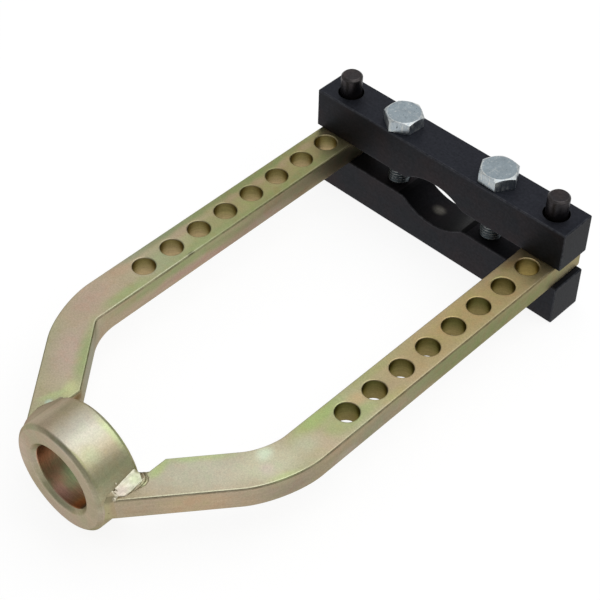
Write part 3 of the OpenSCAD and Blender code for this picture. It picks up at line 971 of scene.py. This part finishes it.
def build_jaw(node, notch_side, pin_hole, bolt_hole, material):
    """One jaw: a square bar with rounded edges, four holes and the notch on its clamping side."""
    clamp = bpy.context.scene.puller_clamp
    low, high = node_box(node)
    centre_y = (low.y + high.y) / 2
    holes = []
    for carried, hole in (("right_guide_pin", pin_hole), ("right_clamp_bolt", bolt_hole)):
        left, right = node_box(carried)
        x = (left.x + right.x) / 2
        holes += [(side * x, centre_y, hole / 2) for side in (-1, 1)]
    radius = mm(clamp.notch_radius)
    depth = mm(clamp.upper_notch if notch_side < 0 else clamp.lower_notch)
    bm = marked(bmesh.new())
    inside = bm.faces.layers.float["inside"]
    corners = [(low.x, low.y), (high.x, low.y), (high.x, high.y), (low.x, high.y)]
    plain, clamping = (high.z, low.z) if notch_side < 0 else (low.z, high.z)
    outline = bm.faces.new([bm.verts.new((x, y, plain)) for x, y in corners])
    plate(bm, outline, holes, plain, clamping)
    run_out = 4
    reach = math.sqrt(radius**2 - (radius - depth) ** 2) + run_out
    cuts = 30
    for i in range(cuts + 1):
        cut_flat(bm, (reach * (2 * i / cuts - 1), 0, 0), (1, 0, 0), close=False)
    for vert in bm.verts:
        if abs(vert.co.z - clamping) < 0.001 and abs(vert.co.x) < reach - 0.001:
            # The notch runs out smoothly at its ends, where its edge is rubbed round.
            sag = math.sqrt(radius**2 - vert.co.x**2) - (radius - depth)
            vert.co.z -= notch_side * (sag + math.hypot(sag, 0.8)) / 2
    bmesh.ops.recalc_face_normals(bm, faces=bm.faces)
    rims = [e for e in sharp_edges(bm, 60) if near_hole(e.verts[0].co, holes, 0.1)]
    soften(bm, rims, width=0.3, segments=2, edge_wear_and_highlight=0.6)
    limits = [e for e in sharp_edges(bm, 30) if not near_hole(e.verts[0].co, holes, 1.0)]
    soften(bm, limits, mm(clamp.jaw_edge), segments=3, edge_wear_and_highlight=0.45)
    bm.normal_update()
    for face in bm.faces:
        middle = face.calc_center_median()
        in_notch = abs(middle.x) < reach and 0.001 < abs(middle.z - clamping) < depth + 0.01
        # Painted shade: the end faces, and the notch most towards its ends, are marked to be painted
        # nearly black.
        if abs(face.normal.x) > 0.95 and abs(middle.x) > high.x - 0.1:
            face[inside] = 0.6
        elif in_notch and abs(face.normal.y) < 0.5:
            face[inside] = 0.4 + 0.55 * min(1.0, abs(middle.x) / 20)
    settle(bm, node + "_block", node, material)


class PULLER_OT_jaws(bpy.types.Operator):
    """Mill the two notched jaws"""

    bl_idname = "puller.jaws"
    bl_label = "Clamp jaws"

    def execute(self, context):
        clamp = context.scene.puller_clamp
        pin_low, pin_high = node_box("right_guide_pin")
        thread = mm(clamp.thread_diameter)
        tapped, clear = thread + 2 * mm(clamp.thread_play), thread + 2 * mm(clamp.bolt_play)
        material = black_oxide(
            "Black oxide on milled steel",
            context.scene.puller_finish.jaw_black,
            cloud_colour="#302A2C",
            rubbed_colour="#66676A",
            lay_mm=(14.0, 1.0, 1.0),
            gloss=0.56,
            zones=[
                # A painted light on the upper jaw's top face.
                ((0, 295.6, 34), (400, 60, 2), "#31333A", 0.9),
                ((-3.5, 296, -17), (5.5, 4.5, 5), "#8C8880", 1.0),
                # A painted shade on the right end faces of both jaws.
                ((95, 295.6, -1), (6, 24, 60), "#23272E", 0.9),
            ],
        )
        build_jaw("lower_jaw", 1, pin_high.x - pin_low.x, tapped, material)
        build_jaw("upper_jaw", -1, mm(clamp.loose_pin_hole), clear, material)
        return {"FINISHED"}


class PULLER_OT_guide_pins(bpy.types.Operator):
    """Turn the two headless guide pins"""

    bl_idname = "puller.guide_pins"
    bl_label = "Guide pins"

    def execute(self, context):
        material = black_oxide(
            "Black oxide on turned pin",
            context.scene.puller_finish.pin_black,
            cloud_colour="#453C3B",
            rubbed_colour="#5C5857",
            lay_mm=(6.0, 6.0, 0.9),
            gloss=0.4,
            zones=[
                # Painted shade: the pins' sides are darker than their tops.
                ((-79, 295.6, 39), (12, 12, 6.5), "#262428", 0.9),
                ((79, 295.6, 39), (12, 12, 6.5), "#29272A", 0.8),
            ],
        )
        chamfer = mm(context.scene.puller_clamp.pin_chamfer)
        for side in ("left", "right"):
            node = side + "_guide_pin"
            low, high = node_box(node)
            middle = (low + high) / 2
            radius = (high.x - low.x) / 2
            rows = [(0, low.z), (radius - chamfer, low.z), (radius, low.z + chamfer)]
            rows += [(radius, high.z - chamfer), (radius - chamfer, high.z), (0, high.z)]
            bm = marked(bmesh.new())
            wear_and_highlight = bm.faces.layers.float["wear_and_highlight"]
            profile = [Vector((middle.x + r, middle.y, z)) for r, z in rows]
            turned(bm, profile, Vector((0, 0, 1)), middle, edge_round=0.3, steps=96)
            for face in bm.faces:
                if high.z - chamfer < face.calc_center_median().z < high.z - 0.02:
                    face[wear_and_highlight] = 1.0
            settle(bm, side + "_turned_pin", node, material)
        return {"FINISHED"}


def bolt_head(bm, flats, crown, height, base_z):
    """A hexagon head whose corners a 30 degree cone turns off, round the z axis."""
    place = Matrix.Translation((0, 0, base_z))
    loop = bmesh.ops.create_circle(
        bm, cap_ends=True, radius=flats / 2, segments=96, matrix=place
    )["verts"]
    for vert in loop:
        angle = math.atan2(vert.co.y, vert.co.x) % (math.pi / 3) - math.pi / 6
        reach = flats / 2 / math.cos(angle) / math.hypot(vert.co.x, vert.co.y)
        widen(vert, reach)
    walls = bmesh.ops.extrude_face_region(bm, geom=[loop[0].link_faces[0]])
    cap = picked(walls, BMFace)[0]
    for vert in picked(walls, BMVert):
        run = math.hypot(vert.co.x, vert.co.y) - crown
        vert.co.z = base_z + height - run * math.tan(math.pi / 6)
    bmesh.ops.inset_region(bm, faces=[cap], thickness=0.0, use_even_offset=False)
    for vert in cap.verts:
        widen(vert, crown / math.hypot(vert.co.x, vert.co.y))
        vert.co.z = base_z + height
    bmesh.ops.recalc_face_normals(bm, faces=bm.faces)
    soften(bm, sharp_edges(bm, 25), width=0.2, segments=2, edge_wear_and_highlight=0.5)
    wear_and_highlight = bm.faces.layers.float["wear_and_highlight"]
    bm.normal_update()
    for face in bm.faces:
        # The cone round the crown is painted lighter than the six sides, and the sides a little:
        # painted highlights, with some rub.
        if 0.8 < face.normal.z < 0.95:
            face[wear_and_highlight] = 0.42
        elif abs(face.normal.z) < 0.3:
            face[wear_and_highlight] = 0.26


def bolt_thread(bm, radius, depth, pitch, bottom, top, chamfer):
    """A right-hand thread cut off flat at both ends, with its tip chamfered."""
    root = radius - depth
    rows = [(root, 0.0), (root, 0.18), (radius, 0.5), (radius, 0.6), (root, 1.0)]
    start = bottom - pitch
    verts = [bm.verts.new((r, 0, start + share * pitch)) for r, share in rows]
    edges = [bm.edges.new(pair) for pair in zip(verts, verts[1:])]
    turns = math.ceil((top - bottom) / pitch) + 2
    steps = 40
    bmesh.ops.spin(
        bm,
        geom=verts + edges,
        cent=(0, 0, 0),
        axis=(0, 0, 1),
        dvec=(0, 0, pitch / steps),
        angle=2 * math.pi * turns,
        steps=steps * turns,
        use_merge=False,
        use_duplicate=False,
    )
    bmesh.ops.remove_doubles(bm, verts=bm.verts, dist=0.002)
    for height, side in ((bottom, -1), (top, 1)):
        cut_flat(bm, (0, 0, height), (0, 0, side))
    for vert in bm.verts:
        reach = math.hypot(vert.co.x, vert.co.y)
        limit = radius - chamfer + (vert.co.z - bottom)
        if reach > limit > 0:
            widen(vert, limit / reach)
    inside, wear_and_highlight = bm.faces.layers.float["inside"], bm.faces.layers.float["wear_and_highlight"]
    # Painted light: the crests get a painted highlight, and the flanks and roots a painted shade that
    # is partly dirt in the roots.
    for face in bm.faces:
        reaches = [math.hypot(v.co.x, v.co.y) for v in face.verts]
        crest = min(reaches) > radius - 0.1
        face[wear_and_highlight] = 1.0 if crest else 0.0
        face[inside] = 0.0 if crest else 1.0 if max(reaches) < root + 0.1 else 0.6


class PULLER_OT_clamp_bolts(bpy.types.Operator):
    """Forge the two hexagon bolts and cut their threads"""

    bl_idname = "puller.clamp_bolts"
    bl_label = "Clamp bolts"

    def execute(self, context):
        clamp = context.scene.puller_clamp
        material = bright_zinc("Clear zinc on forged bolt", context.scene.puller_finish.zinc)
        radius = mm(clamp.thread_diameter) / 2
        flats = mm(clamp.head_flats)
        top = node_box("upper_jaw")[1].z
        plain = 10
        for side, turn in (("left", clamp.left_turn), ("right", clamp.right_turn)):
            node = side + "_clamp_bolt"
            low, high = node_box(node)
            middle = (low + high) / 2
            head, bm = marked(bmesh.new()), marked(bmesh.new())
            bolt_head(head, flats, clamp.crown_share * flats / 2, high.z - top, top)
            bolt_thread(
                bm,
                radius - 0.02,
                depth=1.15,
                pitch=mm(clamp.thread_pitch),
                bottom=low.z,
                top=top - plain,
                chamfer=1.4,
            )
            # The shank's upper end has no thread. It laps both the thread and the head.
            bmesh.ops.create_cone(
                bm,
                cap_ends=True,
                segments=64,
                radius1=radius - 0.1,
                radius2=radius - 0.1,
                depth=plain + 2,
                matrix=Matrix.Translation((0, 0, top - plain / 2)),
            )
            mesh = bpy.data.meshes.new("head")
            head.to_mesh(mesh)
            head.free()
            bm.from_mesh(mesh)
            bpy.data.meshes.remove(mesh)
            swing = Matrix.Rotation(turn, 3, "Z")
            bmesh.ops.rotate(bm, verts=bm.verts, cent=(0, 0, 0), matrix=swing)
            bmesh.ops.translate(bm, verts=bm.verts, vec=(middle.x, middle.y, 0))
            settle(bm, side + "_hexagon_bolt", node, material)
        return {"FINISHED"}


class PULLER_OT_studio(bpy.types.Operator):
    """Set up the floor, the lamps, the world and the camera"""

    bl_idname = "puller.studio"
    bl_label = "Studio"

    def execute(self, context):
        scene = context.scene
        scene.view_settings.view_transform = "Standard"
        material, tree, _ = new_material("Pale floor")
        path = add(tree, "LightPath")
        seen = path.outputs["Is Camera Ray"]
        for ray in ("Is Glossy Ray", "Is Transmission Ray"):
            seen = add(tree, "Math", {0: seen, 1: path.outputs[ray]}, operation="MAXIMUM")
        paper = add(tree, "BsdfDiffuse", {"Color": (0.18, 0.18, 0.18, 1)})
        glow = add(tree, "Emission", {"Color": (1, 1, 1, 1), "Strength": 0.87})
        lit = add(tree, "AddShader", {0: paper, 1: glow})
        mix = add(tree, "MixShader", {0: seen, 1: paper, 2: lit})
        add(tree, "OutputMaterial", {"Surface": mix})
        bm = bmesh.new()
        place = Matrix.Translation((0, 0, node_box("lower_jaw")[0].z / METRE))
        bmesh.ops.create_grid(bm, x_segments=1, y_segments=1, size=30, matrix=place)
        floor = as_object(bm, "floor")
        floor.data.materials.append(material)

        world = bpy.data.worlds.new("Soft daylight tent")
        world.use_nodes = True
        world.node_tree.nodes.clear()
        air = add(world.node_tree, "Background", {"Color": (1, 1, 1, 1), "Strength": 0.44})
        add(world.node_tree, "OutputWorld", {"Surface": air})
        scene.world = world

        lamps = [
            ("Overhead softbox", (0.30, 0.38, 1.02), (0, 0.03, 0), 1.2, 5.8),
            ("Back left softbox", (-0.95, 0.95, 1.05), (0, 0.15, 0), 1.2, 2.4),
        ]
        for name, place, target, size, power in lamps:
            light = bpy.data.lights.new(name, "AREA")
            light.size = size
            light.energy = power
            lamp = bpy.data.objects.new(name, light)
            lamp.location = place
            aim = Vector(place) - Vector(target)
            lamp.rotation_euler = aim.to_track_quat("Z", "Y").to_euler()
            scene.collection.objects.link(lamp)

        view = bpy.data.cameras.new("Photo camera")
        view.sensor_width = 36.0
        view.lens = 100.28
        view.shift_x = 0.05776
        view.shift_y = -0.00221
        camera = bpy.data.objects.new("Photo camera", view)
        camera.location = (0.45027, -0.32622, 0.67840)
        camera.rotation_euler = [math.radians(a) for a in (44.5892, -0.1646, 44.2605)]
        scene.collection.objects.link(camera)
        scene.camera = camera
        return {"FINISHED"}


SETTINGS = {
    "puller_fork": ForkSettings,
    "puller_ring": RingSettings,
    "puller_weld": WeldSettings,
    "puller_clamp": ClampSettings,
    "puller_finish": FinishSettings,
}
OPERATORS = (
    PULLER_OT_boss_ring,
    PULLER_OT_fork_arms,
    PULLER_OT_welds,
    PULLER_OT_jaws,
    PULLER_OT_guide_pins,
    PULLER_OT_clamp_bolts,
    PULLER_OT_studio,
)


class PULLER_PT_panel(bpy.types.Panel):
    """Lists the steps and the sizes in the sidebar"""

    bl_idname = "PULLER_PT_panel"
    bl_label = "Joint puller"
    bl_space_type = "VIEW_3D"
    bl_region_type = "UI"
    bl_category = "Puller"

    def draw(self, context):
        for operator in OPERATORS:
            self.layout.operator(operator.bl_idname)
        for name, group in SETTINGS.items():
            box = self.layout.box()
            for setting in group.__annotations__:
                box.prop(getattr(context.scene, name), setting)


CLASSES = (*SETTINGS.values(), *OPERATORS, PULLER_PT_panel)


def register():
    """Register the settings, the operators and the panel."""
    for cls in CLASSES:
        bpy.utils.register_class(cls)
    for name, group in SETTINGS.items():
        setattr(bpy.types.Scene, name, bpy.props.PointerProperty(type=group))


def unregister():
    """Take the settings, the operators and the panel away."""
    for name in SETTINGS:
        delattr(bpy.types.Scene, name)
    for cls in reversed(CLASSES):
        bpy.utils.unregister_class(cls)


def main():
    """Build every piece and the studio."""
    register()
    for operator in OPERATORS:
        group, name = operator.bl_idname.split(".")
        getattr(getattr(bpy.ops, group), name)()


if __name__ == "__main__":
    main()
